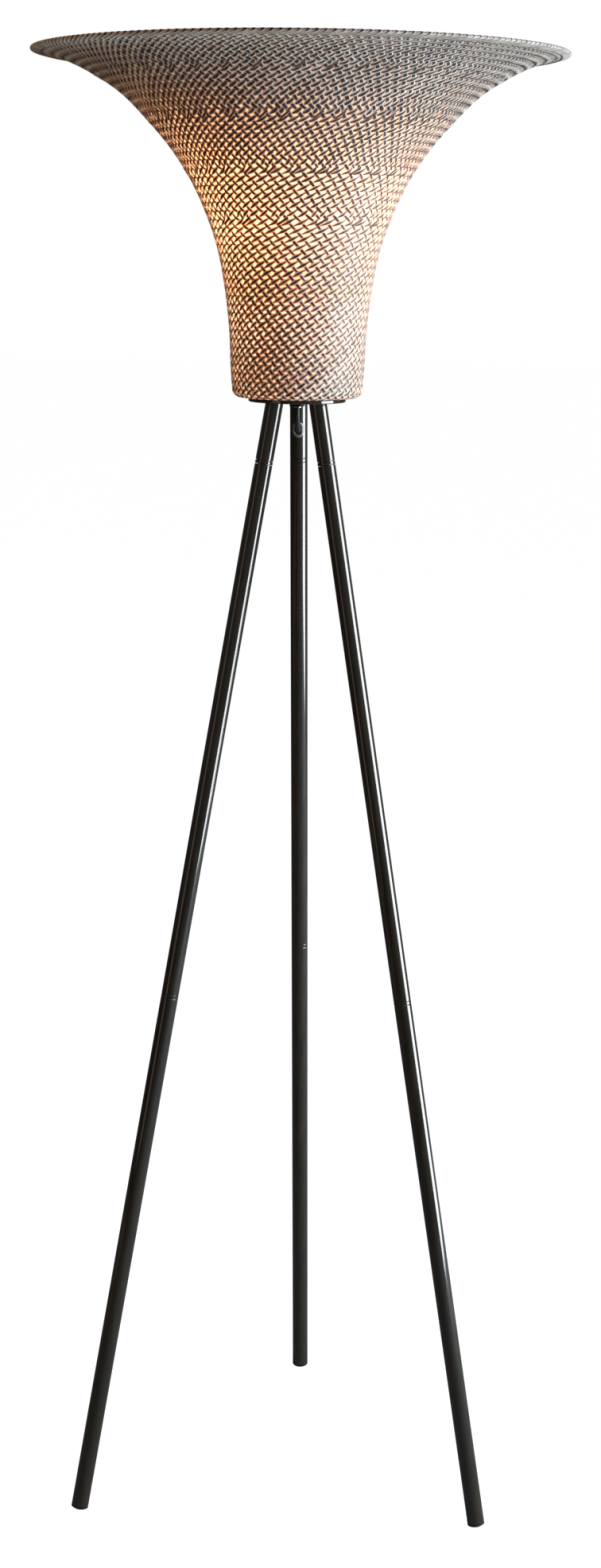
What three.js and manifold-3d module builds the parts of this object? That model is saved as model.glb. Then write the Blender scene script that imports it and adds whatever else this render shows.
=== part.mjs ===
// Floor lamp: a woven trumpet shade on a steel plate, carried by three knock-down tube legs.
// Millimetres, +Z up. The lamp's axis is Z, the floor is at zero, and the rear leg stands towards +Y.

import * as THREE from 'three';
import { mergeVertices } from 'three/addons/utils/BufferGeometryUtils.js';
import Module from 'manifold-3d';

const wasm = await Module();
wasm.setup();

// Gaps that the whole lamp shares
const seatGap = 0.3; // between two faces that rest on each other
const slipGap = 0.3; // radial, between a spigot and its bore
const overrun = 4; // how far a cutter passes what it cuts
const weldTolerance = 0.0001; // vertices closer than this are one vertex

// How finely round pieces are faceted
const tubeSides = 24;
const innerSides = 20;
const shadeSides = 36;
const hoopSides = 6;
const leadSides = 8;
const arcSteps = 5;

// Tripod
const legTopRadius = 26.6; // from the lamp's axis to the top of a stub's axis
const legFootRadius = 255.6; // from the lamp's axis to the centre of a foot's dome
const tubeOuter = 19;
const tubeWall = 1.2;
const lowerTubeLength = 594;
const middleTubeLength = 585.5;
const stubLength = 62.4; // on its axis, as its top is cut level
const legNames = ['rear', 'left', 'right'];

// Couplers between the tubes of a leg
const collarHeight = 3.7;
const spigotLength = 12;
const studOuter = 12;
const studLength = 16;
const couplerBore = 8.4;
const insertLength = 20;

// Foot plugs
const domeRadius = 16;
const footFlatDepth = 0.5; // how deep the dome is cut flat where it rests on the floor
const flangeHeight = 1.6;
const plugLength = 16;

// Base plate and the hollow threaded pipe that holds the stack together
const plateWidth = 104;
const plateThickness = 4;
const plateChamfer = 0.8;
const pipeOuter = 10;
const pipeBore = 7.4;
const washerWidth = 20;
const washerThickness = 1;
const nutAcrossCorners = 16.2;
const nutHeight = 3.5;
const nutSides = 6;
const pipeStand = 1; // how far the pipe stands out of the nut

// Shade: a shell whose outline is shares of the lip's radius and of the shade's height
const rimRadius = 280;
const shadeHeight = 352;
const shadeThickness = 2;
const neckRadius = 69.6;
const bottomCorner = 9;
const outlineShares = [
  [0.258, 0.094], [0.264, 0.2], [0.281, 0.317], [0.308, 0.43], [0.35, 0.53], [0.41, 0.632],
  [0.484, 0.722], [0.572, 0.803], [0.672, 0.881], [0.78, 0.937], [0.89, 0.978], [1, 1],
];
const outlineSteps = 14;
const cornerSteps = 3;

// Liner inside the shade
const linerThickness = 0.8;
const linerGap = 0.4;

// Rim: a hoop against the lip, and a binding that grips the hoop and the lip
const hoopWidth = 2;
const bindingThickness = 0.6;
const bindingReach = 7;

// Clamp disc and spacer tube inside the shade
const clampWidth = 92;
const clampThickness = 1.5;
const spacerOuter = 16;
const spacerHeight = 58;

// Lampholder
const capBottomWidth = 26;
const capTopWidth = 37;
const capHeight = 16;
const holderWall = 1.8;
const shellWidth = 39;
const shellHeight = 34;
const shellLedge = 3.5; // how far the ledge under the contact block reaches in from the wall
const blockWidth = 32;
const blockHeight = 8;
const sleeveWidth = 29.4;
const sleeveWall = 0.8;
const sleeveHeight = 22;

// Bulb
const bulbCapWidth = 26;
const bulbContactWidth = 14;
const bulbContactHeight = 4;
const threadPitch = 3.6;
const threadDepth = 0.7;
const threadTurns = 6;
const bulbBodyHeight = 30;
const bulbWidth = 60;
const bulbWall = 1.2;
const bodySteps = 5;
const domeSteps = 7;

// Lead
const leadWidth = 6.2;
const leadClearance = 0.4;
const leadBend = 21; // radius of its bends
const leadDive = Math.PI / 3; // how far from plumb it runs between the pipe and the rear leg
const exitTurn = Math.PI * 5 / 18; // how far it turns out of the rear leg near the floor
const exitCorner = 78; // distance up the leg's axis where it turns out

// Grommet and bushing where the lead goes through the rear leg's wall
const flangeWidth = 11.8;
const flangeLength = 17;
const grommetStand = 1.1; // how far the grommet stands out of the tube
const bushingStand = 4.5; // the same for the bushing
const spigotWidth = 9;
const spigotRun = 14;
const innerLip = 0.9;

// Colours
const steelColour = 0x24231f;
const blackPlasticColour = 0x151515;
const caneColour = 0x8a7760;
const linerColour = 0xf3e4cc;
const zincColour = 0xb4b4ae;
const brassColour = 0xc29b4f;
const whitePlasticColour = 0xf0efea;
const ceramicColour = 0xe2dfd6;

// The legs lean so that their tubes, end to end, span from the feet to the plate
const tubeRadius = tubeOuter / 2;
const tubeInner = tubeRadius - tubeWall;
const domeDrop = Math.sqrt(domeRadius ** 2 - tubeRadius ** 2); // from a dome's centre down to its edge
const tubeRun = lowerTubeLength + middleTubeLength + stubLength + 2 * (seatGap + collarHeight + seatGap);
const legRun = flangeHeight + seatGap + tubeRun - domeDrop;
const legLean = Math.asin((legFootRadius - legTopRadius) / legRun);

// Sizes along a leg, measured up its axis from the floor
const domeCentre = (domeRadius - footFlatDepth) / Math.cos(legLean);
const plugEdge = domeCentre - domeDrop;
const legFloorRadius = legFootRadius + domeCentre * Math.sin(legLean);
const lowerTubeStart = plugEdge + flangeHeight + seatGap;
const lowerCollarStart = lowerTubeStart + lowerTubeLength + seatGap;
const middleTubeStart = lowerCollarStart + collarHeight + seatGap;
const upperCollarStart = middleTubeStart + middleTubeLength + seatGap;
const stubStart = upperCollarStart + collarHeight + seatGap;
const stubEnd = stubStart + stubLength;

// Heights of the stack on the lamp's axis
const stubTop = stubEnd * Math.cos(legLean);
const plateUnderside = stubTop + seatGap;
const plateTop = plateUnderside + plateThickness;
const shadeBottom = plateTop + seatGap;
const clampStart = shadeBottom + shadeThickness + seatGap;
const spacerStart = clampStart + clampThickness + seatGap;
const capStart = spacerStart + spacerHeight + seatGap;
const shellStart = capStart + capHeight + seatGap;
const blockStart = shellStart + holderWall + seatGap;
const sleeveStart = blockStart + blockHeight + seatGap;
const bulbBodyStart = sleeveStart + bulbContactHeight + threadTurns * threadPitch + seatGap;
const bulbDomeStart = bulbBodyStart + bulbBodyHeight + seatGap;
const washerStart = plateUnderside - seatGap - washerThickness;
const nutStart = washerStart - seatGap - nutHeight;
const pipeStart = nutStart - pipeStand;
const pipeEnd = capStart + capHeight / 2;
const pipeHole = pipeOuter / 2 + slipGap;

// Rim
const bindingInner = Math.max(shadeThickness, hoopWidth) / 2 + seatGap;
const bindingOuter = bindingInner + bindingThickness;
const hoopOffset = seatGap + hoopWidth / 2;
const lipRadius = rimRadius - hoopOffset - bindingOuter;

function material(colour, roughness, metalness) {
  return new THREE.MeshStandardMaterial({ color: colour, roughness, metalness });
}

const steel = material(steelColour, 0.25, 0.8);
const blackPlastic = material(blackPlasticColour, 0.5, 0);
const cane = material(caneColour, 0.6, 0);
const linerFilm = material(linerColour, 0.8, 0);
const zinc = material(zincColour, 0.35, 0.9);
const brass = material(brassColour, 0.3, 1);
const whitePlastic = material(whitePlasticColour, 0.4, 0);
const ceramic = material(ceramicColour, 0.5, 0);

function node(name, geometry, finish) {
  const mesh = new THREE.Mesh(geometry, finish);
  mesh.name = name;
  return mesh;
}

// A solid of revolution about Z, from [radius, height] points that run counterclockwise
function lathe(outline, sides) {
  const points = outline.map(([radius, height]) => new THREE.Vector2(radius, height));
  return new THREE.LatheGeometry(points, sides).rotateX(Math.PI / 2);
}

// The outline of a plain ring, as lathe wants it
function ring(innerRadius, outerRadius, bottom, top) {
  const bottomEdge = [[innerRadius, bottom], [outerRadius, bottom]];
  const topEdge = [[outerRadius, top], [innerRadius, top]];
  return [...bottomEdge, ...topEdge, bottomEdge[0]];
}

// Points of an arc about a centre, with angles counted from the direction of growing radius
function arc(centre, radius, from, to, steps) {
  return Array.from({ length: steps + 1 }, (_, i) => {
    const angle = from + (to - from) * i / steps;
    return [centre[0] + radius * Math.cos(angle), centre[1] + radius * Math.sin(angle)];
  });
}

function solidOf(geometry) {
  const bare = geometry.clone();
  bare.deleteAttribute('normal');
  bare.deleteAttribute('uv');
  const merged = mergeVertices(bare, weldTolerance);
  const corners = [];
  for (let i = 0; i < merged.index.count; i += 3) {
    const triangle = [0, 1, 2].map((k) => merged.index.getX(i + k));
    if (new Set(triangle).size === 3) corners.push(...triangle);
  }
  const vertProperties = new Float32Array(merged.attributes.position.array);
  const triVerts = new Uint32Array(corners);
  return new wasm.Manifold(new wasm.Mesh({ numProp: 3, vertProperties, triVerts }));
}

function geometryOf(solid) {
  const mesh = solid.getMesh();
  const geometry = new THREE.BufferGeometry();
  geometry.setAttribute('position', new THREE.BufferAttribute(mesh.vertProperties, 3));
  geometry.setIndex(new THREE.BufferAttribute(mesh.triVerts, 1));
  geometry.computeVertexNormals();
  return geometry;
}

// The outside of the shade from its bottom face to its lip
function shadeOutline() {
  const cornerCentre = [neckRadius - bottomCorner, shadeBottom + bottomCorner];
  const corner = arc(cornerCentre, bottomCorner, -Math.PI / 2, 0, cornerSteps);
  const cornerEnd = new THREE.Vector2(neckRadius, cornerCentre[1]);
  const flare = outlineShares.map(
    ([radiusShare, heightShare]) =>
      new THREE.Vector2(lipRadius * radiusShare, shadeBottom + shadeHeight * heightShare),
  );
  const curve = new THREE.SplineCurve([cornerEnd, ...flare]).getPoints(outlineSteps);
  return [...corner, ...curve.slice(1).map((point) => point.toArray())];
}

// An outline moved towards the inside of the shade by a distance
function inset(outline, distance) {
  return outline.map(([radius, height], i) => {
    const before = outline[Math.max(i - 1, 0)];
    const after = outline[Math.min(i + 1, outline.length - 1)];
    const run = Math.hypot(after[0] - before[0], after[1] - before[1]);
    const inward = [(before[1] - after[1]) / run, (after[0] - before[0]) / run];
    return [radius + distance * inward[0], height + distance * inward[1]];
  });
}

const outside = shadeOutline();

function shadeWeave() {
  const inside = inset(outside, shadeThickness);
  const holeFoot = [pipeHole, shadeBottom];
  const holeHead = [pipeHole, shadeBottom + shadeThickness];
  return lathe([holeFoot, ...outside, ...inside.reverse(), holeHead, holeFoot], shadeSides);
}

// The liner leaves the bottom corner and the last step under the binding bare
function shadeLiner() {
  const reach = [cornerSteps, -1];
  const outer = inset(outside, shadeThickness + linerGap).slice(...reach);
  const inner = inset(outside, shadeThickness + linerGap + linerThickness).slice(...reach);
  return lathe([...outer, ...inner.reverse(), outer[0]], shadeSides);
}

// The middle of the lip's edge, and the direction in which the lip points
function lip() {
  const [before, end] = inset(outside, shadeThickness / 2).slice(-2);
  return { end, heading: Math.atan2(end[1] - before[1], end[0] - before[0]) };
}

// A point placed from the middle of the lip's edge, along the lip's heading and across it
function fromLip(along, across) {
  const { end, heading } = lip();
  return [
    end[0] + along * Math.cos(heading) - across * Math.sin(heading),
    end[1] + along * Math.sin(heading) + across * Math.cos(heading),
  ];
}

function rimHoop() {
  const section = arc(fromLip(hoopOffset, 0), hoopWidth / 2, 0, Math.PI * 2, hoopSides);
  return lathe([...section.slice(0, -1), section[0]], shadeSides);
}

function rimBinding() {
  const { heading } = lip();
  const centre = fromLip(hoopOffset, 0);
  const outer = arc(centre, bindingOuter, heading - Math.PI / 2, heading + Math.PI / 2, arcSteps);
  const inner = arc(centre, bindingInner, heading + Math.PI / 2, heading - Math.PI / 2, arcSteps);
  const topEnd = [fromLip(-bindingReach, bindingOuter), fromLip(-bindingReach, bindingInner)];
  const bottomEnd = [fromLip(-bindingReach, -bindingInner), fromLip(-bindingReach, -bindingOuter)];
  return lathe([...outer, ...topEnd, ...inner, ...bottomEnd, outer[0]], shadeSides);
}

function basePlate() {
  const edge = plateWidth / 2;
  return lathe([
    [pipeHole, plateUnderside],
    [edge - plateChamfer, plateUnderside],
    [edge, plateUnderside + plateChamfer],
    [edge, plateTop - plateChamfer],
    [edge - plateChamfer, plateTop],
    [pipeHole, plateTop],
    [pipeHole, plateUnderside],
  ], shadeSides);
}

function locknut() {
  const corners = Array.from({ length: nutSides }, (_, i) => {
    const angle = i * 2 * Math.PI / nutSides;
    return new THREE.Vector2(Math.cos(angle), Math.sin(angle)).multiplyScalar(nutAcrossCorners / 2);
  });
  const outline = new THREE.Shape(corners);
  outline.holes.push(new THREE.Path().absarc(0, 0, pipeHole, 0, Math.PI * 2));
  const options = { depth: nutHeight, curveSegments: innerSides / 2, bevelEnabled: false };
  return new THREE.ExtrudeGeometry(outline, options).translate(0, 0, nutStart);
}

function lampholderCap() {
  const bottom = capBottomWidth / 2;
  const top = capTopWidth / 2;
  const capTop = capStart + capHeight;
  return lathe([
    [pipeHole, capStart],
    [bottom, capStart],
    [top, capTop],
    [top - holderWall, capTop],
    [bottom - holderWall, capStart + holderWall],
    [pipeHole, capStart + holderWall],
    [pipeHole, capStart],
  ], innerSides);
}

// The shell of the lampholder, with a ledge at its bottom that carries the contact block
function lampholderShell() {
  const wall = shellWidth / 2;
  const ledge = wall - holderWall - shellLedge;
  const top = shellStart + shellHeight;
  return lathe([
    [ledge, shellStart],
    [wall, shellStart],
    [wall, top],
    [wall - holderWall, top],
    [wall - holderWall, shellStart + holderWall],
    [ledge, shellStart + holderWall],
    [ledge, shellStart],
  ], innerSides);
}

// The bulb's screw cap: a tapered contact end under a rounded thread
function bulbCap() {
  const radius = bulbCapWidth / 2;
  const threadStart = sleeveStart + bulbContactHeight;
  const outline = [[0, sleeveStart], [bulbContactWidth / 2, sleeveStart]];
  for (let turn = 0; turn < threadTurns; turn += 1) {
    outline.push([radius - threadDepth, threadStart + turn * threadPitch]);
    outline.push([radius, threadStart + (turn + 1 / 2) * threadPitch]);
  }
  const top = threadStart + threadTurns * threadPitch;
  outline.push([radius - threadDepth, top], [0, top]);
  return lathe(outline, innerSides);
}

// The bulb's body flares from the cap to the full width along a quarter wave
function bulbBody() {
  const neck = bulbCapWidth / 2;
  const wide = bulbWidth / 2;
  const flare = Array.from({ length: bodySteps + 1 }, (_, i) => {
    const share = i / bodySteps;
    const swell = Math.sin(share * Math.PI / 2);
    return [neck + (wide - neck) * swell, bulbBodyStart + bulbBodyHeight * share];
  });
  return lathe([[0, bulbBodyStart], ...flare, [0, bulbBodyStart + bulbBodyHeight]], innerSides);
}

function bulbDome() {
  const wide = bulbWidth / 2;
  const centre = [0, bulbDomeStart];
  const outer = arc(centre, wide, 0, Math.PI / 2, domeSteps);
  const inner = arc(centre, wide - bulbWall, Math.PI / 2, 0, domeSteps);
  outer[domeSteps][0] = 0;
  inner[0][0] = 0;
  return lathe([...inner, ...outer], innerSides);
}

// A leg's own frame: Z up along its axis from the floor, X pointing away from the lamp
function legFrame(index) {
  const turn = new THREE.Group();
  turn.rotation.z = Math.PI / 2 + index * 2 * Math.PI / legNames.length;
  const lean = new THREE.Group();
  lean.position.x = legFloorRadius;
  lean.rotation.y = -legLean;
  turn.add(lean);
  turn.updateMatrixWorld(true);
  return { turn, lean };
}

// A slab with one level face, which meets a leg's axis at a distance; side 1 puts it above, -1 below
function levelSlab(distance, side) {
  const reach = tubeOuter + overrun;
  const slab = new THREE.BoxGeometry(2 * reach, 2 * reach, reach);
  return solidOf(slab.translate(0, 0, side * reach / 2).rotateY(legLean).translate(0, 0, distance));
}

// A point in the rear leg's plane, by its distance up the leg's axis and its offset away from the lamp
function onRearLeg(distance, offset) {
  const outward = legFloorRadius - distance * Math.sin(legLean) + offset * Math.cos(legLean);
  const up = distance * Math.cos(legLean) + offset * Math.sin(legLean);
  return new THREE.Vector3(0, outward, up);
}

// Where the lead turns: under the pipe, onto the rear leg's axis, and off it near the floor
const pipeTurn = new THREE.Vector3(0, 0, pipeStart - leadBend * Math.tan(leadDive / 2));
const diveRun = (legTopRadius + (stubTop - pipeTurn.z) * Math.tan(legLean))
  / (Math.sin(leadDive) - Math.cos(leadDive) * Math.tan(legLean));
const entryCorner = (pipeTurn.z - diveRun * Math.cos(leadDive)) / Math.cos(legLean);
const entryRise = tubeRadius / Math.tan(leadDive - legLean);
const entryDistance = entryCorner + entryRise;
const exitDistance = exitCorner - tubeRadius / Math.tan(exitTurn);

function leadCorners(endOffset) {
  return [
    new THREE.Vector3(0, 0, shellStart),
    pipeTurn,
    onRearLeg(entryCorner, 0),
    onRearLeg(exitCorner, 0),
    onRearLeg(exitCorner - endOffset / Math.tan(exitTurn), endOffset),
  ];
}

// The stations of an arc that rounds a corner between two straight runs
function roundedCorner(before, corner, after) {
  const back = before.clone().sub(corner).normalize();
  const ahead = after.clone().sub(corner).normalize();
  const half = back.angleTo(ahead) / 2;
  const turn = Math.PI - 2 * half;
  const bisector = back.clone().add(ahead).normalize();
  const centre = corner.clone().addScaledVector(bisector, leadBend / Math.sin(half));
  const start = corner.clone().addScaledVector(back, leadBend / Math.tan(half)).sub(centre);
  const end = corner.clone().addScaledVector(ahead, leadBend / Math.tan(half)).sub(centre);
  return Array.from({ length: arcSteps + 1 }, (_, i) => {
    const share = i / arcSteps;
    return centre.clone()
      .addScaledVector(start, Math.sin((1 - share) * turn) / Math.sin(turn))
      .addScaledVector(end, Math.sin(share * turn) / Math.sin(turn));
  });
}

// A path that an extrusion follows ring by ring, one ring at each station
class StationPath extends THREE.Curve {
  constructor(stations) {
    super();
    this.stations = stations;
  }

  getPointAt(share) {
    return this.stations[Math.round(share * (this.stations.length - 1))].clone();
  }

  getTangentAt(share) {
    const last = this.stations.length - 1;
    const i = Math.round(share * last);
    const ahead = this.stations[Math.min(i + 1, last)];
    return ahead.clone().sub(this.stations[Math.max(i - 1, 0)]).normalize();
  }
}

function leadGeometry(radius, endOffset) {
  const corners = leadCorners(endOffset);
  const stations = [corners[0]];
  for (let i = 1; i < corners.length - 1; i += 1) {
    stations.push(...roundedCorner(corners[i - 1], corners[i], corners[i + 1]));
  }
  stations.push(corners[corners.length - 1]);
  const section = new THREE.Shape().absarc(0, 0, radius, 0, Math.PI * 2);
  return new THREE.ExtrudeGeometry(section, {
    curveSegments: leadSides / 2,
    steps: stations.length - 1,
    extrudePath: new StationPath(stations),
    bevelEnabled: false,
  });
}

// A slot-shaped prism through one wall of a tube, in the leg's frame
// side is 1 for the wall away from the lamp and -1 for the wall towards it
function slotPrism(width, length, distance, side) {
  const straight = (length - width) / 2;
  const slot = new THREE.Shape();
  slot.absarc(straight, 0, width / 2, -Math.PI / 2, Math.PI / 2);
  slot.absarc(-straight, 0, width / 2, Math.PI / 2, Math.PI * 3 / 2);
  const options = { depth: tubeOuter, curveSegments: arcSteps, bevelEnabled: false };
  const prism = new THREE.ExtrudeGeometry(slot, options).rotateY(-Math.PI / 2);
  return solidOf(prism.translate(side > 0 ? tubeOuter : 0, 0, distance));
}

function wallHole(distance, side) {
  return slotPrism(spigotWidth + 2 * slipGap, spigotRun + 2 * slipGap, distance, side);
}

// A slot-shaped sleeve in the rear leg's wall: a saddle flange, a spigot and the lead's way through both
function wallSleeve(distance, side, stand, frame) {
  const bottom = distance - flangeLength;
  const top = distance + flangeLength;
  const rod = (radius) => {
    const outline = [[0, bottom], [radius, bottom], [radius, top], [0, top]];
    return solidOf(lathe(outline, tubeSides));
  };
  const flange = slotPrism(flangeWidth, flangeLength, distance, side).subtract(rod(tubeRadius + seatGap));
  const spigot = slotPrism(spigotWidth, spigotRun, distance, side).subtract(rod(tubeInner - innerLip));
  const way = leadGeometry(leadWidth / 2 + leadClearance, tubeRadius + stand + overrun);
  const wayInFrame = solidOf(way.applyMatrix4(frame.matrixWorld.clone().invert()));
  const sleeve = flange.add(spigot).intersect(rod(tubeRadius + stand)).subtract(wayInFrame);
  return geometryOf(sleeve);
}

function tube(start, end) {
  return lathe(ring(tubeInner, tubeRadius, start, end), tubeSides);
}

function coupler(collarStart) {
  const bore = couplerBore / 2;
  const spigot = tubeInner - slipGap;
  const collarEnd = collarStart + collarHeight;
  return lathe([
    [bore, collarStart - studLength],
    [studOuter / 2, collarStart - studLength],
    [studOuter / 2, collarStart],
    [tubeRadius, collarStart],
    [tubeRadius, collarEnd],
    [spigot, collarEnd],
    [spigot, collarEnd + spigotLength],
    [bore, collarEnd + spigotLength],
    [bore, collarStart - studLength],
  ], tubeSides);
}

// The threaded insert flush with the top of a tube
function insert(tubeEnd) {
  const bore = studOuter / 2 + slipGap;
  return lathe(ring(bore, tubeInner - slipGap, tubeEnd - insertLength, tubeEnd), innerSides);
}

function stub(rear) {
  const blank = solidOf(tube(stubStart, stubEnd + overrun));
  const cut = blank.subtract(levelSlab(stubEnd, 1));
  return geometryOf(rear ? cut.subtract(wallHole(entryDistance, -1)) : cut);
}

function lowerTube(rear) {
  const plain = tube(lowerTubeStart, lowerTubeStart + lowerTubeLength);
  return rear ? geometryOf(solidOf(plain).subtract(wallHole(exitDistance, 1))) : plain;
}

// The plug in the foot: a spigot, a flange as wide as the tube and a dome cut flat at the floor
function footPlug() {
  const reach = Math.asin(tubeRadius / domeRadius);
  const dome = arc([0, domeCentre], domeRadius, -Math.PI / 2, reach - Math.PI / 2, arcSteps);
  dome[0][0] = 0;
  const flangeTop = plugEdge + flangeHeight;
  const spigot = tubeInner - slipGap;
  const top = flangeTop + plugLength;
  const outline = [...dome, [tubeRadius, flangeTop], [spigot, flangeTop], [spigot, top], [0, top]];
  return geometryOf(solidOf(lathe(outline, tubeSides)).subtract(levelSlab(0, -1)));
}

function leg(name, index) {
  const { turn, lean } = legFrame(index);
  const rear = index === 0;
  const lowerTubeEnd = lowerTubeStart + lowerTubeLength;
  const middleTubeEnd = middleTubeStart + middleTubeLength;
  lean.add(
    node(`${name}_leg_stub`, stub(rear), steel),
    node(`${name}_leg_upper_coupler`, coupler(upperCollarStart), steel),
    node(`${name}_leg_upper_insert`, insert(middleTubeEnd), zinc),
    node(`${name}_leg_middle_tube`, tube(middleTubeStart, middleTubeEnd), steel),
    node(`${name}_leg_lower_coupler`, coupler(lowerCollarStart), steel),
    node(`${name}_leg_lower_insert`, insert(lowerTubeEnd), zinc),
    node(`${name}_leg_lower_tube`, lowerTube(rear), steel),
    node(`${name}_leg_foot_plug`, footPlug(), blackPlastic),
  );
  if (rear) {
    lean.add(
      node('lead_grommet', wallSleeve(entryDistance, -1, grommetStand, lean), blackPlastic),
      node('lead_bushing', wallSleeve(exitDistance, 1, bushingStand, lean), blackPlastic),
    );
  }
  return turn;
}

function shade() {
  const group = new THREE.Group();
  group.add(
    node('shade_weave', shadeWeave(), cane),
    node('shade_liner', shadeLiner(), linerFilm),
    node('rim_hoop', rimHoop(), zinc),
    node('rim_binding', rimBinding(), cane),
  );
  return group;
}

// The plate and what the threaded pipe clamps to it
function stack() {
  const group = new THREE.Group();
  const washer = ring(pipeHole, washerWidth / 2, washerStart, washerStart + washerThickness);
  const pipe = ring(pipeBore / 2, pipeOuter / 2, pipeStart, pipeEnd);
  const disc = ring(pipeHole, clampWidth / 2, clampStart, clampStart + clampThickness);
  const spacer = ring(pipeHole, spacerOuter / 2, spacerStart, spacerStart + spacerHeight);
  group.add(
    node('base_plate', basePlate(), steel),
    node('plate_washer', lathe(washer, innerSides), zinc),
    node('plate_locknut', locknut(), zinc),
    node('threaded_pipe', lathe(pipe, innerSides), zinc),
    node('clamp_disc', lathe(disc, shadeSides), zinc),
    node('spacer_tube', lathe(spacer, innerSides), steel),
  );
  return group;
}

function lampholder() {
  const group = new THREE.Group();
  const block = [[0, blockStart], [blockWidth / 2, blockStart]];
  const blockTop = block.map(([radius]) => [radius, blockStart + blockHeight]).reverse();
  const sleeveOuter = sleeveWidth / 2;
  const sleeveTop = sleeveStart + sleeveHeight;
  const sleeve = ring(sleeveOuter - sleeveWall, sleeveOuter, sleeveStart, sleeveTop);
  group.add(
    node('lampholder_cap', lampholderCap(), blackPlastic),
    node('lampholder_shell', lampholderShell(), blackPlastic),
    node('contact_block', lathe([...block, ...blockTop], innerSides), ceramic),
    node('screw_sleeve', lathe(sleeve, innerSides), brass),
  );
  return group;
}

function bulb() {
  const group = new THREE.Group();
  group.add(
    node('bulb_cap', bulbCap(), zinc),
    node('bulb_body', bulbBody(), whitePlastic),
    node('bulb_dome', bulbDome(), whitePlastic),
  );
  return group;
}

function lead() {
  return node('lead', leadGeometry(leadWidth / 2, tubeRadius + bushingStand / 2), blackPlastic);
}

const lamp = new THREE.Group();
lamp.add(shade(), stack(), lampholder(), bulb(), lead());
legNames.forEach((name, index) => lamp.add(leg(name, index)));

export default lamp;
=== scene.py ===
import math

import bpy
import numpy as np
from mathutils import Matrix, Vector


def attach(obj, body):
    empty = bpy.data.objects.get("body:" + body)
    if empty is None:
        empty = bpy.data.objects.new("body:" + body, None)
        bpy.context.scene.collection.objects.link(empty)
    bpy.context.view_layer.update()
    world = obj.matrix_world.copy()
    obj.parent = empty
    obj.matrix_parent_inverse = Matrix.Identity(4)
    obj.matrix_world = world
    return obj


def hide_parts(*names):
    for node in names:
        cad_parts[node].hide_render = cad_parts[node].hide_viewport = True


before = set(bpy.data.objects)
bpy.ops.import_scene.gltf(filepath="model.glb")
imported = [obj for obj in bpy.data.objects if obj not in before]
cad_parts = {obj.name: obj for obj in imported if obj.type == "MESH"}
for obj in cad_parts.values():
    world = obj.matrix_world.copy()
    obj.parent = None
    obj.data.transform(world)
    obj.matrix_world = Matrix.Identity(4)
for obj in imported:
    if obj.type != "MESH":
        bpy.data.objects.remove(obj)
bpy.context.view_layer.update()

MM = 0.001
TAU = 2 * math.pi
crease = 32  # degrees, above which an edge of a turned piece stays sharp
rng = np.random.default_rng(7)

# Tripod, in millimetres as all the lamp's sizes
leg_top_radius = 26.6
leg_foot_radius = 255.6
leg_names = ("rear", "left", "right")
tube_outer = 19
tube_wall = 1.2
lower_length = 594
middle_length = 585.5
stub_length = 62.4
collar_height = 3.7
coupler_bore = 8.4
stud_outer = 12
stud_length = 16
spigot_length = 12
spigot_gap = 0.3
seat_gap = 0.3
worn_width = 0.45  # of the broken edges
dome_radius = 16
foot_flat = 0.5
flange_height = 1.6
plug_length = 16

# Along a leg, measured up its axis from the floor
tube_radius = tube_outer / 2
tube_inner = tube_radius - tube_wall
spigot_radius = tube_inner - spigot_gap
dome_drop = math.sqrt(dome_radius**2 - tube_radius**2)
tube_run = lower_length + middle_length + stub_length + 2 * (seat_gap + collar_height + seat_gap)
leg_run = flange_height + seat_gap + tube_run - dome_drop
lean = math.asin((leg_foot_radius - leg_top_radius) / leg_run)
dome_centre = (dome_radius - foot_flat) / math.cos(lean)
plug_edge = dome_centre - dome_drop
leg_floor_radius = leg_foot_radius + dome_centre * math.sin(lean)
lower_start = plug_edge + flange_height + seat_gap
lower_end = lower_start + lower_length
lower_collar = lower_end + seat_gap
middle_start = lower_collar + collar_height + seat_gap
middle_end = middle_start + middle_length
upper_collar = middle_end + seat_gap
stub_start = upper_collar + collar_height + seat_gap
stub_end = stub_start + stub_length

# Plate, clamp stack, lampholder and bulb
plate_width = 104
plate_thickness = 4
pipe_hole = 5.3
pipe_stand = 1  # how far the pipe stands out of the nut
nut_height = 3.5
washer_width = 20
washer_thickness = 1
shade_thickness = 2
clamp_width = 92
clamp_thickness = 1.5
spacer_outer = 16
spacer_height = 58
cap_bottom_width = 26
cap_top_width = 37
cap_height = 16
holder_wall = 1.8
shell_width = 39
shell_height = 34
shell_ledge = 3.5  # how far the ledge under the contact block reaches in from the wall
block_height = 8
bulb_cap_width = 26
bulb_contact_height = 4
bulb_thread_height = 21.6
bulb_body_height = 30
bulb_width = 60
bulb_wall = 1.2

# Heights on the lamp's axis
stub_top = stub_end * math.cos(lean)
plate_underside = stub_top + seat_gap
plate_top = plate_underside + plate_thickness
washer_start = plate_underside - seat_gap - washer_thickness
pipe_start = washer_start - seat_gap - nut_height - pipe_stand
shade_bottom = plate_top + seat_gap
clamp_start = shade_bottom + shade_thickness + seat_gap
spacer_start = clamp_start + clamp_thickness + seat_gap
cap_start = spacer_start + spacer_height + seat_gap
shell_start = cap_start + cap_height + seat_gap
sleeve_start = shell_start + holder_wall + seat_gap + block_height + seat_gap
bulb_body_start = sleeve_start + bulb_contact_height + bulb_thread_height + seat_gap
bulb_dome_start = bulb_body_start + bulb_body_height + seat_gap

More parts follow.
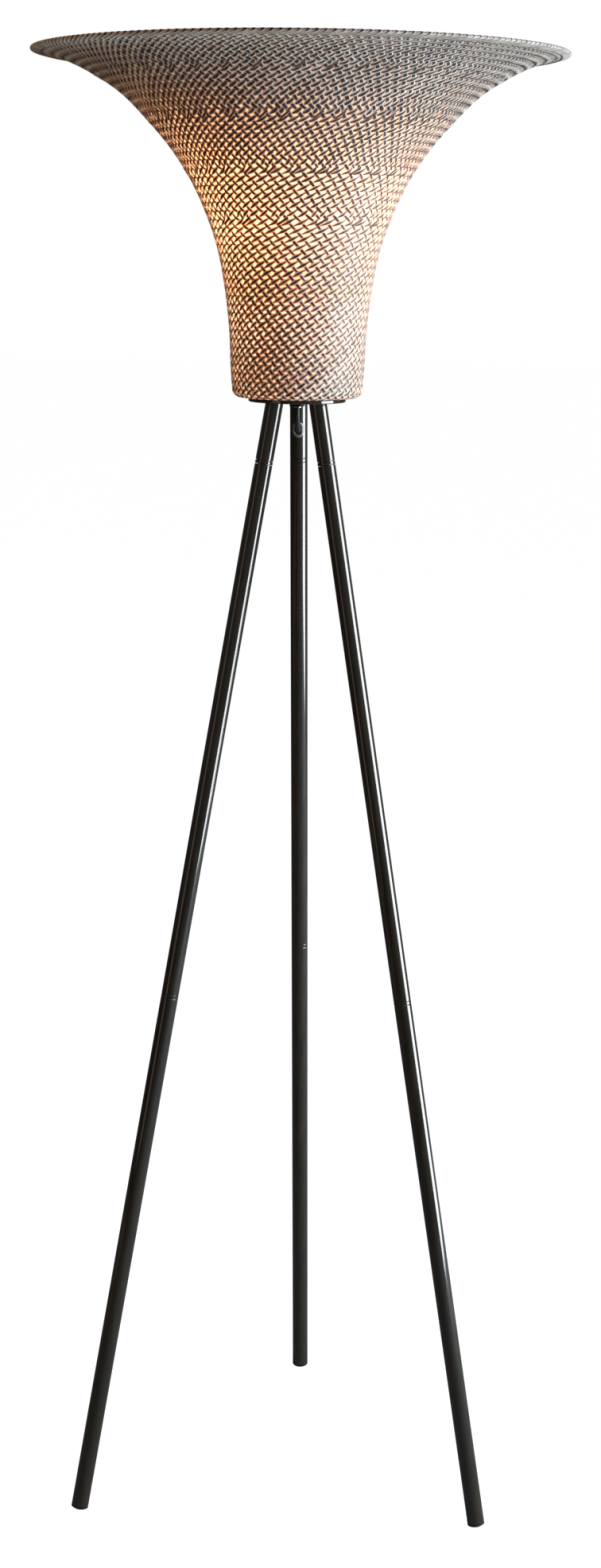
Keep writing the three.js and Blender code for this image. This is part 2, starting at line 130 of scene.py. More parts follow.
# Shade, with its outline as shares of the lip's radius and of the shade's height
rim_radius = 280
lip_radius = 276.8
shade_height = 352
neck_radius = 69.6
corner_radius = 9
bottom_flat = (46, 53)  # radii of the outline's first points, on the flat bottom
outline_shares = (
    (0.258, 0.094), (0.264, 0.2), (0.281, 0.317), (0.308, 0.43), (0.35, 0.53), (0.41, 0.632),
    (0.484, 0.722), (0.572, 0.803), (0.672, 0.881), (0.78, 0.937), (0.89, 0.978), (1, 1),
)
corner_steps = 12
outline_steps = 260

# Lead, with the grommet and the bushing that it passes
lead_radius = 3.1
lead_bend = 21
dive = math.pi / 3  # how far from plumb it runs between the pipe and the rear leg
exit_turn = math.pi * 5 / 18  # how far it turns out of the rear leg near the floor
exit_corner = 78  # distance up the leg's axis where it turns out
grommet_stand = 1.1  # how far the grommet stands out of the tube
bushing_stand = 4.5


# Mesh helpers
def piece(name, verts, faces, finishes, uses=None, uv=None, sharp=None, tone=None):
    """A mesh object in metres from vertices in millimetres; uses picks each face's finish."""
    mesh = bpy.data.meshes.new(name)
    verts = np.asarray(verts, dtype=np.float64) * MM
    if isinstance(faces, np.ndarray):
        n, k = faces.shape
        mesh.vertices.add(len(verts))
        mesh.vertices.foreach_set("co", verts.ravel())
        mesh.loops.add(n * k)
        mesh.loops.foreach_set("vertex_index", faces.ravel().astype(np.int32))
        mesh.polygons.add(n)
        mesh.polygons.foreach_set("loop_start", np.arange(0, n * k, k, dtype=np.int32))
    else:
        mesh.from_pydata(verts.tolist(), [], faces)
    for finish in finishes:
        mesh.materials.append(finish)
    if uses is not None:
        mesh.polygons.foreach_set("material_index", np.asarray(uses, dtype=np.int32))
    mesh.update(calc_edges=True)
    mesh.validate()
    if uv is not None:
        layer = mesh.uv_layers.new(name="OFBake")
        layer.data.foreach_set("uv", np.asarray(uv, dtype=np.float32).ravel())
    if tone is not None:
        layer = mesh.attributes.new("tone", "FLOAT", "POINT")
        layer.data.foreach_set("value", np.asarray(tone, dtype=np.float32))
    mesh.polygons.foreach_set("use_smooth", np.ones(len(mesh.polygons), dtype=bool))
    if sharp is not None:
        mesh.set_sharp_from_angle(angle=math.radians(sharp))
    ob = bpy.data.objects.new(name, mesh)
    bpy.context.scene.collection.objects.link(ob)
    return ob


def seated(ob, slot, *nodes):
    """Lets a piece ride on the lamp in place of the nodes it stands for; the slot argument is not used."""
    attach(ob, "root")
    if nodes:
        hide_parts(*nodes)


def quads(rings, sides):
    """The faces between rings of equally many vertices, numbered ring by ring."""
    faces = []
    for k in range(rings - 1):
        for i in range(sides):
            j = (i + 1) % sides
            faces.append([k * sides + i, k * sides + j, (k + 1) * sides + j, (k + 1) * sides + i])
    return faces


def turned(name, outline, finishes, sides=72, matrix=None, uses=None):
    """A turned piece about Z from (radius, height) points, closed where the outline meets the axis."""
    closed = outline[0] == outline[-1]
    points = outline[:-1] if closed else outline
    verts, rings = [], []
    for radius, height in points:
        if radius < 1e-6:
            rings.append([len(verts)] * sides)
            verts.append((0, 0, height))
        else:
            rings.append(list(range(len(verts), len(verts) + sides)))
            for i in range(sides):
                a = TAU * i / sides
                verts.append((radius * math.cos(a), radius * math.sin(a), height))
    faces, kinds = [], []
    spans = list(zip(rings, rings[1:] + ([rings[0]] if closed else [])))
    for k, (low, high) in enumerate(spans):
        for i in range(sides):
            j = (i + 1) % sides
            corners = [low[i], low[j], high[j], high[i]]
            face = [c for n, c in enumerate(corners) if c != corners[n - 1]]
            if len(set(face)) > 2:
                faces.append(face)
                kinds.append(0 if uses is None else uses[k])
    if matrix is not None:
        verts = [matrix @ Vector(v) for v in verts]
    return piece(name, [tuple(v) for v in verts], faces, finishes, kinds, sharp=crease)


def chamfered(inner, outer, low, high, edge):
    """The outline of a ring with its outer edges broken."""
    return [
        (inner, low), (outer - edge, low), (outer, low + edge),
        (outer, high - edge), (outer - edge, high), (inner, high), (inner, low),
    ]


def swept(name, path, radius, finish, sides=20):
    """A round tube along a path of points."""
    points = [Vector(p) for p in path]
    verts = []
    side = Vector((1, 0, 0))
    for k, p in enumerate(points):
        ahead = (points[min(k + 1, len(points) - 1)] - points[max(k - 1, 0)]).normalized()
        side = (side - ahead * side.dot(ahead)).normalized()
        up = ahead.cross(side)
        for i in range(sides):
            a = TAU * i / sides
            verts.append(tuple(p + radius * (side * math.cos(a) + up * math.sin(a))))
    faces = quads(len(points), sides)
    faces.append(list(range(sides))[::-1])
    faces.append([(len(points) - 1) * sides + i for i in range(sides)])
    return piece(name, verts, faces, [finish], sharp=40)


# Material helpers
def material(name):
    """A new material with its nodes, its links and its main shader."""
    made = bpy.data.materials.new(name)
    made.use_nodes = True
    nodes, links = made.node_tree.nodes, made.node_tree.links
    return made, nodes, links, nodes["Principled BSDF"]


def noise(nodes, links, scale, detail, vector=None):
    node = nodes.new("ShaderNodeTexNoise")
    node.inputs["Scale"].default_value = scale
    node.inputs["Detail"].default_value = detail
    if vector is None:
        vector = nodes.new("ShaderNodeTexCoord").outputs["Object"]
    links.new(vector, node.inputs["Vector"])
    return node.outputs["Fac"]


def ramp(nodes, links, value, stops):
    """The colour between stops, each a place along the value and its colour."""
    node = nodes.new("ShaderNodeValToRGB")
    node.color_ramp.elements.remove(node.color_ramp.elements[1])
    for n, (at, colour) in enumerate(stops):
        element = node.color_ramp.elements[0] if n == 0 else node.color_ramp.elements.new(at)
        element.position = at
        element.color = (*colour, 1)
    links.new(value, node.inputs["Fac"])
    return node.outputs["Color"]


def span(nodes, links, value, low, high, start=0.3, end=0.7):
    """The value's run from start to end, spread from low to high."""
    node = nodes.new("ShaderNodeMapRange")
    node.inputs["From Min"].default_value = start
    node.inputs["From Max"].default_value = end
    node.inputs["To Min"].default_value = low
    node.inputs["To Max"].default_value = high
    links.new(value, node.inputs["Value"])
    return node.outputs["Result"]


def bumped(nodes, links, value, shader, strength, distance):
    node = nodes.new("ShaderNodeBump")
    node.inputs["Strength"].default_value = strength
    node.inputs["Distance"].default_value = distance
    links.new(value, node.inputs["Height"])
    links.new(node.outputs["Normal"], shader.inputs["Normal"])


def stretched(nodes, links, scale):
    """Object coordinates scaled unevenly, for grain that runs along Z."""
    node = nodes.new("ShaderNodeMapping")
    node.inputs["Scale"].default_value = scale
    links.new(nodes.new("ShaderNodeTexCoord").outputs["Object"], node.inputs["Vector"])
    return node.outputs["Vector"]


def toned(nodes, links, tone_share=0.6, grain_share=0.45):
    """Each strand's own tone, joined with a fine grain."""
    tone = nodes.new("ShaderNodeAttribute")
    tone.attribute_name = "tone"
    grain = noise(nodes, links, scale=900, detail=2)
    both = nodes.new("ShaderNodeMath")
    both.operation = "MULTIPLY_ADD"
    both.inputs[1].default_value = grain_share
    links.new(grain, both.inputs[0])
    less = nodes.new("ShaderNodeMath")
    less.operation = "MULTIPLY"
    less.inputs[1].default_value = tone_share
    links.new(tone.outputs["Fac"], less.inputs[0])
    links.new(less.outputs["Value"], both.inputs[2])
    return both.outputs["Value"], grain


def lit_through(nodes, links, shader, value, stops, share):
    """Lets a share of the light from behind a thin sheet through it."""
    through = nodes.new("ShaderNodeBsdfTranslucent")
    links.new(ramp(nodes, links, value, stops), through.inputs["Color"])
    mix = nodes.new("ShaderNodeMixShader")
    mix.inputs["Fac"].default_value = share
    links.new(shader.outputs["BSDF"], mix.inputs[1])
    links.new(through.outputs["BSDF"], mix.inputs[2])
    links.new(mix.outputs["Shader"], nodes["Material Output"].inputs["Surface"])


# Materials
def cane_skin():
    """The dark, slightly glossy skin of the cane."""
    made, nodes, links, shader = material("cane_skin")
    value, grain = toned(nodes, links)
    colours = (
        (0.1, (0.018, 0.010, 0.009)),
        (0.5, (0.036, 0.021, 0.018)),
        (0.9, (0.070, 0.042, 0.034)),
    )
    through = ((0.1, (0.75, 0.30, 0.13)), (0.9, (0.90, 0.42, 0.20)))
    links.new(ramp(nodes, links, value, colours), shader.inputs["Base Color"])
    links.new(span(nodes, links, grain, 0.32, 0.48), shader.inputs["Roughness"])
    shader.inputs["Specular IOR Level"].default_value = 0.2
    lit_through(nodes, links, shader, value, through, share=0.028)
    bumped(nodes, links, grain, shader, strength=0.25, distance=0.0002)
    return made


def cane_pale():
    """The pale core at a strand's edges, which lets warm light through."""
    made, nodes, links, shader = material("cane_pale")
    value, grain = toned(nodes, links)
    colours = (
        (0.1, (0.40, 0.375, 0.31)),
        (0.5, (0.50, 0.475, 0.405)),
        (0.9, (0.60, 0.575, 0.50)),
    )
    through = ((0.1, (0.80, 0.26, 0.09)), (0.9, (0.90, 0.38, 0.17)))
    links.new(ramp(nodes, links, value, colours), shader.inputs["Base Color"])
    links.new(span(nodes, links, grain, 0.55, 0.75), shader.inputs["Roughness"])
    shader.inputs["Specular IOR Level"].default_value = 0.07
    lit_through(nodes, links, shader, value, through, share=0.3)
    bumped(nodes, links, grain, shader, strength=0.25, distance=0.0002)
    return made


def film():
    """The liner's film, faintly clouded."""
    made, nodes, links, shader = material("liner_film")
    cloud = noise(nodes, links, scale=18, detail=4)
    fibre = noise(nodes, links, scale=700, detail=2)
    colours = ((0.3, (0.88, 0.85, 0.79)), (0.7, (0.93, 0.91, 0.87)))
    through = ((0.3, (0.95, 0.76, 0.56)), (0.7, (0.98, 0.82, 0.64)))
    links.new(ramp(nodes, links, cloud, colours), shader.inputs["Base Color"])
    shader.inputs["Roughness"].default_value = 0.8
    shader.inputs["Specular IOR Level"].default_value = 0.04
    lit_through(nodes, links, shader, cloud, through, share=0.15)
    bumped(nodes, links, fibre, shader, strength=0.2, distance=0.0002)
    return made


def lacquer():
    """Dark lacquer with streaks along the tubes."""
    made, nodes, links, shader = material("steel_lacquer")
    streak = noise(nodes, links, scale=1, detail=4, vector=stretched(nodes, links, (170, 170, 5)))
    colours = (
        (0.3, (0.0150, 0.0125, 0.0088)),
        (0.5, (0.0195, 0.0152, 0.0103)),
        (0.7, (0.0265, 0.0185, 0.0125)),
    )
    links.new(ramp(nodes, links, streak, colours), shader.inputs["Base Color"])
    speck = noise(nodes, links, scale=2400, detail=2)
    links.new(span(nodes, links, speck, 0.05, 0.09), shader.inputs["Roughness"])
    shader.inputs["Specular IOR Level"].default_value = 0.5
    bumped(nodes, links, speck, shader, strength=0.01, distance=0.0001)
    return made


def metal(name, colours, rough):
    made, nodes, links, shader = material(name)
    value = noise(nodes, links, scale=600, detail=4)
    stops = ((0.35, colours[0]), (0.65, colours[1]))
    links.new(ramp(nodes, links, value, stops), shader.inputs["Base Color"])
    shader.inputs["Metallic"].default_value = 1.0
    links.new(span(nodes, links, value, *rough), shader.inputs["Roughness"])
    bumped(nodes, links, value, shader, strength=0.08, distance=0.0001)
    return made


def moulded(name, colours, rough, level=0.5, scale=1500):
    made, nodes, links, shader = material(name)
    value = noise(nodes, links, scale, detail=3)
    stops = ((0.35, colours[0]), (0.65, colours[1]))
    links.new(ramp(nodes, links, value, stops), shader.inputs["Base Color"])
    links.new(span(nodes, links, value, *rough), shader.inputs["Roughness"])
    shader.inputs["Specular IOR Level"].default_value = level
    bumped(nodes, links, value, shader, strength=0.12, distance=0.0001)
    return made


def glowing(name, strength):
    made, nodes, links, shader = material(name)
    value = noise(nodes, links, scale=300, detail=3)
    stops = ((0.3, (0.93, 0.90, 0.84)), (0.7, (0.96, 0.94, 0.89)))
    links.new(ramp(nodes, links, value, stops), shader.inputs["Base Color"])
    shader.inputs["Roughness"].default_value = 0.45
    shader.inputs["Emission Color"].default_value = (1.0, 0.76, 0.48, 1)
    shader.inputs["Emission Strength"].default_value = strength
    return made


skin = cane_skin()
pale = cane_pale()
liner_film = film()
steel = lacquer()
worn_edge = metal("steel_edge", ((0.13, 0.125, 0.12), (0.24, 0.23, 0.22)), (0.22, 0.36))
zinc = metal("zinc_plate", ((0.50, 0.51, 0.52), (0.66, 0.66, 0.64)), (0.28, 0.42))
black_zinc = metal("black_zinc", ((0.045, 0.045, 0.047), (0.075, 0.075, 0.075)), (0.30, 0.42))
brass = metal("brass", ((0.62, 0.43, 0.16), (0.76, 0.56, 0.25)), (0.22, 0.36))
black_plastic = moulded("black_plastic", ((0.010, 0.010, 0.010), (0.020, 0.019, 0.018)), (0.34, 0.48))
jacket_colours = ((0.008, 0.008, 0.008), (0.016, 0.015, 0.015))
rubber = moulded("lead_jacket", jacket_colours, (0.38, 0.55), level=0.45, scale=2200)
grommet_rubber = moulded("grommet_rubber", ((0.10, 0.10, 0.095), (0.16, 0.155, 0.15)), (0.35, 0.5))
ceramic = moulded("ceramic", ((0.68, 0.66, 0.61), (0.78, 0.76, 0.71)), (0.25, 0.4), scale=400)
dome_glow = glowing("bulb_diffuser", 31.0)
body_glow = glowing("bulb_frosted_body", 20.0)


# Outline of the shade
def catmull(points, count):
    """The same curve through the shade's named points that the solid follows."""
    last = len(points) - 1
    out = []
    for i in range(count + 1):
        t = i / count * last
        k = min(int(t), last - 1)
        w = t - k
        a, b = points[max(k - 1, 0)], points[k]
        c, d = points[k + 1], points[min(k + 2, last)]
        v0, v1 = (c - a) / 2, (d - b) / 2
        out.append((2 * b - 2 * c + v0 + v1) * w**3 + (-3 * b + 3 * c - 2 * v0 - v1) * w**2 + v0 * w + b)
    return np.array(out)


def shade_profile():
    """(radius, height) points of the outside from over the plate's edge round the corner to the lip."""
    flat = np.array([[radius, shade_bottom] for radius in bottom_flat])
    centre = np.array([neck_radius - corner_radius, shade_bottom + corner_radius])
    turn = [math.pi / 2 * (i / corner_steps - 1) for i in range(corner_steps)]
    corner = np.array([centre + corner_radius * np.array([math.cos(a), math.sin(a)]) for a in turn])
    shares = [np.array([lip_radius * r, shade_bottom + shade_height * h]) for r, h in outline_shares]
    curve = catmull([np.array([neck_radius, centre[1]])] + shares, outline_steps)
    return np.vstack([flat, corner, curve])


profile = shade_profile()
run = np.concatenate([[0], np.cumsum(np.hypot(*np.diff(profile, axis=0).T))])
corner_run = run[len(bottom_flat) + corner_steps]  # where the wall starts, above the rounded corner
wall = run[-1] - corner_run
slopes = np.gradient(profile, run, axis=0)
slopes /= np.linalg.norm(slopes, axis=1)[:, None]


def on_shade(s, theta, depth):
    """Points at a distance s along the outline, an angle and a depth under the outside."""
    r = np.interp(s, run, profile[:, 0])
    z = np.interp(s, run, profile[:, 1])
    slope_r = np.interp(s, run, slopes[:, 0])
    slope_z = np.interp(s, run, slopes[:, 1])
    r = r - depth * slope_z
    z = z + depth * slope_r
    return np.stack([r * np.cos(theta), r * np.sin(theta), z], axis=-1)


# Bands of the weave, from the bottom up: how far up the wall each ends, its strands each way, its
# rows of crossings, and the share of the crossing angle that the flatter rising strands take at its
# bottom and at its top
bands = (
    (174.5, 44, 46, 0.60, 0.69),
    (230.1, 60, 12, 0.69, 0.70),
    (295.4, 92, 13, 0.70, 0.72),
    (363.3, 128, 12, 0.72, 0.74),
    (wall, 168, 13, 0.74, 0.76),
)
band_starts = [-corner_run] + [end for end, *_ in bands[:-1]]

# How far up the wall, and there the widths of the rising and falling strands and of their dark skins
strand_sizes = np.array((
    (0, 4.5, 4.6, 2.2, 2.6),
    (100, 4.0, 4.2, 2.0, 2.4),
    (165, 3.4, 3.8, 1.9, 2.3),
    (235, 3.5, 4.0, 2.3, 2.7),
    (290, 4.2, 4.6, 2.9, 3.3),
    (345, 5.2, 5.4, 3.4, 3.7),
    (wall - 40, 5.4, 5.6, 3.4, 3.7),
    (wall, 5.6, 5.8, 1.9, 2.8),
))
width_spread = 0.07  # the share by which the strands differ in width
skin_spread = 0.15  # the share by which their dark skins do
skin_limit = 0.85  # the most of a strand's width that its dark skin takes
rising_swell = 0.4  # the share by which a rising strand widens on top and narrows under
falling_swell = 0.12
rising_skin = (0.78, 0.34)  # how wide its dark skin is halfway, as a share, and what it gains on top
falling_skin = (0.8, 0.3)
strand_rise = 0.35  # how proud the dark skin stands of the strand's pale edges
skin_edge_rise = 0.85  # how much of this rise the edges of the dark skin have
weave_swing = 0.5  # how far a strand moves out and in from over to under
swing_snap = 1.7  # how abruptly it does so
wander_share = 0.045  # how far a strand strays, as a share of the strands' spacing
wander_rates = (0.25, 0.7)  # how fast it does so, in radians for each row
lip_margin = 0.2  # how far short of the lip the strands end
per_row = 4  # stations of a strand from one crossing to the next
even_rows = 4  # rows over which the strands even out above a splice

# Strands that start at a splice, and their ends, which lie on top across it
late_start = 3  # stations by which such a strand comes late
new_width = 0.2  # the share of its width that it would have at the splice
new_growth = 0.5  # the share that it gains in each row
tuck_rows = (-0.5, 1.15)  # from where to where its end lies, in rows from the splice
tuck_stations = 9
tuck_aside = 0.14  # how far beside its strand the end lies, as a share of the strands' spacing
tuck_width = 3.2
tuck_skin = 0.75  # the share of this width that is dark skin
tuck_lift = 0.1
tuck_tone = 0.6

# The part of its strip of the map that a ribbon takes, along and across
strip_along = (0.002, 0.998)
strip_across = (0.12, 0.88)


def carried_on(band):
    """The strands of a band that come up from the band below; the others start at the splice."""
    low_count, high_count = bands[band - 1][1], bands[band][1]
    return [math.floor(i * high_count / low_count) for i in range(low_count)]


def started(band):
    """The strands of a band that start at the splice under it."""
    return np.setdiff1d(np.arange(bands[band][1]), carried_on(band))


def splice_shift(theta, band, origin):
    """How far the strands near an angle stand from their even spacing just above a splice."""
    low_count, high_count = bands[band - 1][1], bands[band][1]
    place = np.full(high_count, np.nan)
    for i, k in enumerate(carried_on(band)):
        place[k] = i / low_count
    for k in np.flatnonzero(np.isnan(place)):
        before = place[k - 1] if k else 0
        after = place[(k + 1) % high_count]
        place[k] = (before + (1 if np.isnan(after) or after < before else after)) / 2
    even = np.arange(high_count) / high_count
    shift = np.append(place - even, place[0])
    turn = ((theta - origin) / TAU) % 1
    return TAU * np.interp(turn, np.append(even, 1), shift)


def courses(band, rising, origin, stations):
    """How far up the outline and at what angle each strand of one direction is at its stations."""
    start, (end, count, rows, low, high) = band_starts[band], bands[band]
    turned_by = low * stations + (high - low) * stations**2 / (2 * rows) - (0 if rising else stations)
    s = corner_run + start + (end - start) * stations / rows + np.zeros((count, 1))
    s = np.minimum(s, run[-1] - lip_margin)
    rate = rng.uniform(*wander_rates, (count, 1))
    wander = wander_share * np.sin(stations * rate + rng.uniform(0, TAU, (count, 1)))
    theta = origin + TAU * (np.arange(count)[:, None] + turned_by + wander) / count
    if band:
        fade = np.clip(1 - stations / even_rows, 0, 1)
        theta = theta + fade**2 * (3 - 2 * fade) * splice_shift(theta, band, origin)
    return s, theta


def half_widths(band, rising, s, stations, crown):
    """Half the widths of the strands and of their skins, which swell where a strand lies on top."""
    width, dark = (
        np.interp(s - corner_run, strand_sizes[:, 0], strand_sizes[:, column])
        for column in ((1, 3) if rising else (2, 4))
    )
    broad = width * rng.uniform(1 - width_spread, 1 + width_spread, (len(s), 1)) / 2
    core = dark * rng.uniform(1 - skin_spread, 1 + skin_spread, (len(s), 1)) / 2
    core = np.minimum(core, skin_limit * broad)
    if rising:
        broad = broad * (1 + rising_swell * crown)
        halfway, gain = rising_skin
        core = core * (halfway + gain * crown)
    else:
        broad = broad * (1 + falling_swell * crown)
        halfway, gain = falling_skin
        core = core * np.clip(halfway + gain * crown, halfway, 1)
    if band:
        new = started(band)
        grown = np.clip(new_width + new_growth * stations, 0, 1)
        broad[new] *= grown
        core[new] *= grown
    return broad, core


def ribbons(s, theta, broad, core, depth):
    """Points across strands on their courses, with the pale edges at a depth under the outside."""
    r = np.interp(s, run, profile[:, 0])
    along_s = np.gradient(s, axis=1)
    along_t = np.gradient(theta, axis=1) * r
    length = np.hypot(along_s, along_t)
    edge = skin_edge_rise
    across = []
    for offset, raised in ((-broad, 0), (-core, edge), (0, 1), (core, edge), (broad, 0)):
        at_s = np.clip(s - offset * along_t / length, 0, run[-1] - lip_margin / 2)
        at_theta = theta + offset * along_s / length / r
        across.append(on_shade(at_s, at_theta, depth - raised * strand_rise))
    return np.stack(across, axis=2)


def strands(band, rising, origin, rows_before):
    """The strands of one direction in one band, each with its tone."""
    _, count, rows, *_ = bands[band]
    stations = np.arange(rows * per_row + 1) / per_row
    s, theta = courses(band, rising, origin, stations)
    phase = stations + rows_before + (0 if rising else 1)
    crown = np.cos(math.pi * phase)  # 1 where a strand lies on top, -1 where it is under
    swing = weave_swing * np.tanh(swing_snap * crown) / np.tanh(swing_snap)
    broad, core = half_widths(band, rising, s, stations, crown)
    grid = ribbons(s, theta, broad, core, weave_swing + strand_rise - swing)
    tone = np.broadcast_to(rng.uniform(0, 1, (count, 1))[:, :, None], grid.shape[:3])
    if not band:
        return [(grid, tone)]
    old, new = carried_on(band), started(band)
    return [(grid[old], tone[old]), (grid[new, late_start:], tone[new, late_start:])]


def tucked_ends(band, origin):
    """The ends of a band's new rising strands, which lie on top of the weave across the splice."""
    start, (end, count, rows, low, _) = band_starts[band], bands[band]
    new = started(band)[:, None]
    row = np.linspace(*tuck_rows, tuck_stations)
    s = corner_run + start + (end - start) * row / rows + np.zeros((len(new), 1))
    even = origin + TAU * (new - tuck_aside) / count
    theta = even + TAU * low * row / count + splice_shift(even, band, origin)
    grid = ribbons(s, theta, tuck_width / 2, tuck_skin * tuck_width / 2, -tuck_lift)
    return [(grid, np.full(grid.shape[:3], tuck_tone))]


def ribbon_mesh(name, groups):
    """Joins ribbons, each a grid of stations by points across, and gives each a strip of the map."""
    verts, faces, uses, uvs, tones = [], [], [], [], []
    base, strip = 0, 0
    strips = sum(grid.shape[0] for grid, _ in groups)
    for grid, tone in groups:
        count, length, width, _ = grid.shape
        index = base + np.arange(count * length * width).reshape(count, length, width)
        a, b = index[:, :-1, :-1], index[:, :-1, 1:]
        c, d = index[:, 1:, 1:], index[:, 1:, :-1]
        faces.append(np.stack([a, b, c, d], axis=-1).reshape(-1, 4))
        edge = np.ones(width - 1, dtype=int)
        edge[1:-1] = 0
        uses.append(np.broadcast_to(edge, (count, length - 1, width - 1)).reshape(-1))
        u = np.linspace(*strip_along, length)[:, None] + np.zeros((count, 1, width))
        v = (strip + np.arange(count)[:, None, None] + np.linspace(*strip_across, width)) / strips
        place = np.stack([u, v + np.zeros_like(u)], axis=-1)
        corner = [place[:, :-1, :-1], place[:, :-1, 1:], place[:, 1:, 1:], place[:, 1:, :-1]]
        uvs.append(np.stack(corner, axis=3).reshape(-1, 2))
        verts.append(grid.reshape(-1, 3))
        tones.append(tone.reshape(-1))
        base += count * length * width
        strip += count
    return piece(
        name, np.vstack(verts), np.vstack(faces), [skin, pale], np.concatenate(uses),
        uv=np.vstack(uvs), tone=np.concatenate(tones),
    )


def weave():
    """The bands of the weave, each carried on from the one below."""
    origin, rows_before = 0.0, 0
    for band, (_, count, rows, low, high) in enumerate(bands):
        groups = strands(band, True, origin, rows_before) + strands(band, False, origin, rows_before)
        if band:
            groups += tucked_ends(band, origin)
        ob = ribbon_mesh(f"shade_weave_band_{band + 1}", groups)
        seated(ob, "cane", *(["shade_weave"] if band == 0 else []))
        origin += TAU * (low + high) / 2 * rows / count
        rows_before += rows


liner_depth = 2.8  # under the shade's outside
liner_start = 0.35  # the share of the outline under the wall at which it starts
liner_short = 3  # how far below the lip it ends


def liner(rows=92, sides=144):
    """One thin sheet of film behind the weave, from the rounded corner to just short of the lip."""
    s = np.linspace(liner_start * corner_run, run[-1] - liner_short, rows)[:, None]
    theta = np.arange(sides) * TAU / sides
    grid = on_shade(s + 0 * theta, theta + 0 * s, liner_depth)
    index = np.arange(rows * sides).reshape(rows, sides)
    beside = np.roll(index, -1, axis=1)
    faces = np.stack([index[:-1], beside[:-1], beside[1:], index[1:]], axis=-1).reshape(-1, 4)
    return piece("shade_liner_sheet", grid.reshape(-1, 3), faces, [liner_film])


weave()
seated(liner(), "liner", "shade_liner")

# Rim binding
binding_turns = 208
binding_reach = 7.0  # from the lip down the shade
binding_past = 1.3  # how far it runs straight on past the lip
binding_half = 1.75  # half its thickness, across the wall
binding_slant = 1.6  # how far round the rim it slants for its run along the wall
binding_width = 0.92  # as a share of the distance between turns
binding_skin = 0.28  # the width of its dark skin, as a share of the same
binding_bulge = 0.6  # how far each turn bulges down past its reach
lip_points = 20  # the outline's last points, which give the direction of the lip

# How much the binding varies along its length, as a share, and how fast
width_wave = (0.06, 0.37)
skin_wave = (0.2, 0.11)
tone_wave = (0.8, 0.053)


def binding_loop(straight_steps=6, round_steps=8):
    """One turn of the binding, as places along the wall and across it from the lip's middle."""
    reach, past, half = binding_reach, binding_past, binding_half
    straight = [(reach + past) * i / straight_steps for i in range(straight_steps + 1)]
    angles = [math.pi * i / round_steps for i in range(round_steps)]
    loop = [(step - reach, -half) for step in straight[:-1]]
    loop += [(past + half * math.sin(a), -half * math.cos(a)) for a in angles]
    loop += [(past - step, half) for step in straight]
    loop.append((-reach - binding_bulge, 0))
    return np.array(loop)


def waved(middle, wave, t):
    """A value that goes up and down along the binding."""
    share, rate = wave
    return middle * (1 + share * np.sin(t * rate))


def binding():
    """A cane ribbon wound slantwise round the lip."""
    before, end = profile[-lip_points], profile[-1]
    heading = math.atan2(end[1] - before[1], end[0] - before[0])
    ahead = np.array([math.cos(heading), math.sin(heading)])
    across = np.array([-ahead[1], ahead[0]])
    middle = end + across * shade_thickness / 2
    loop = binding_loop()
    sides = len(loop)
    t = np.arange(binding_turns * sides + 1)
    flat = loop[t % sides]
    tangent = loop[(t + 1) % sides] - loop[(t - 1) % sides]
    tangent /= np.linalg.norm(tangent, axis=1)[:, None]
    normal = np.stack([tangent[:, 1], -tangent[:, 0]], axis=1)
    theta = TAU * t / (binding_turns * sides)
    pitch = TAU * rim_radius / binding_turns
    wide = waved(binding_width / 2 * pitch, width_wave, t)
    dark = waved(binding_skin / 2 * pitch, skin_wave, t)
    rings = []
    for offset, lift in ((-wide, -0.2), (-dark, 0.05), (0, 0.1), (dark, 0.05), (wide, -0.2)):
        local = flat + normal * lift
        place = middle + local[:, :1] * ahead + local[:, 1:] * across
        a = theta + (offset + binding_slant * local[:, 0]) / rim_radius
        rings.append(np.stack([place[:, 0] * np.cos(a), place[:, 0] * np.sin(a), place[:, 1]], axis=-1))
    grid = np.stack(rings, axis=1)[None]
    tone = np.broadcast_to(waved(0.5, tone_wave, t)[None, :, None], grid.shape[:3])
    return ribbon_mesh("rim_binding_wound", [(grid, tone)])


seated(binding(), "cane", "rim_binding")


# Legs, each in its own frame: Z up along its axis from the floor, X pointing away from the lamp
def leg_matrix(index):
    turn = Matrix.Rotation(math.pi / 2 + index * TAU / 3, 4, "Z")
    return turn @ Matrix.Translation((leg_floor_radius, 0, 0)) @ Matrix.Rotation(-lean, 4, "Y")


def tube(name, place, low, high):
    outline = chamfered(tube_inner, tube_radius, low, high, worn_width)
    return turned(name, outline, [steel, worn_edge], matrix=place, uses=(0, 1, 0, 1, 0, 0))


def collar(name, place, low):
    """A coupler: a collar between two tubes, with a stud below it and a spigot above."""
    high = low + collar_height
    bottom, top = low - stud_length, high + spigot_length
    bore, stud = coupler_bore / 2, stud_outer / 2
    outline = [
        (bore, bottom), (stud, bottom), (stud, low), (tube_radius - worn_width, low),
        (tube_radius, low + worn_width), (tube_radius, high - worn_width),
        (tube_radius - worn_width, high), (spigot_radius, high), (spigot_radius, top),
        (bore, top), (bore, bottom),
    ]
    uses = (0, 0, 0, 1, 0, 1, 0, 0, 0, 0)
    return turned(name, outline, [steel, worn_edge], matrix=place, uses=uses)


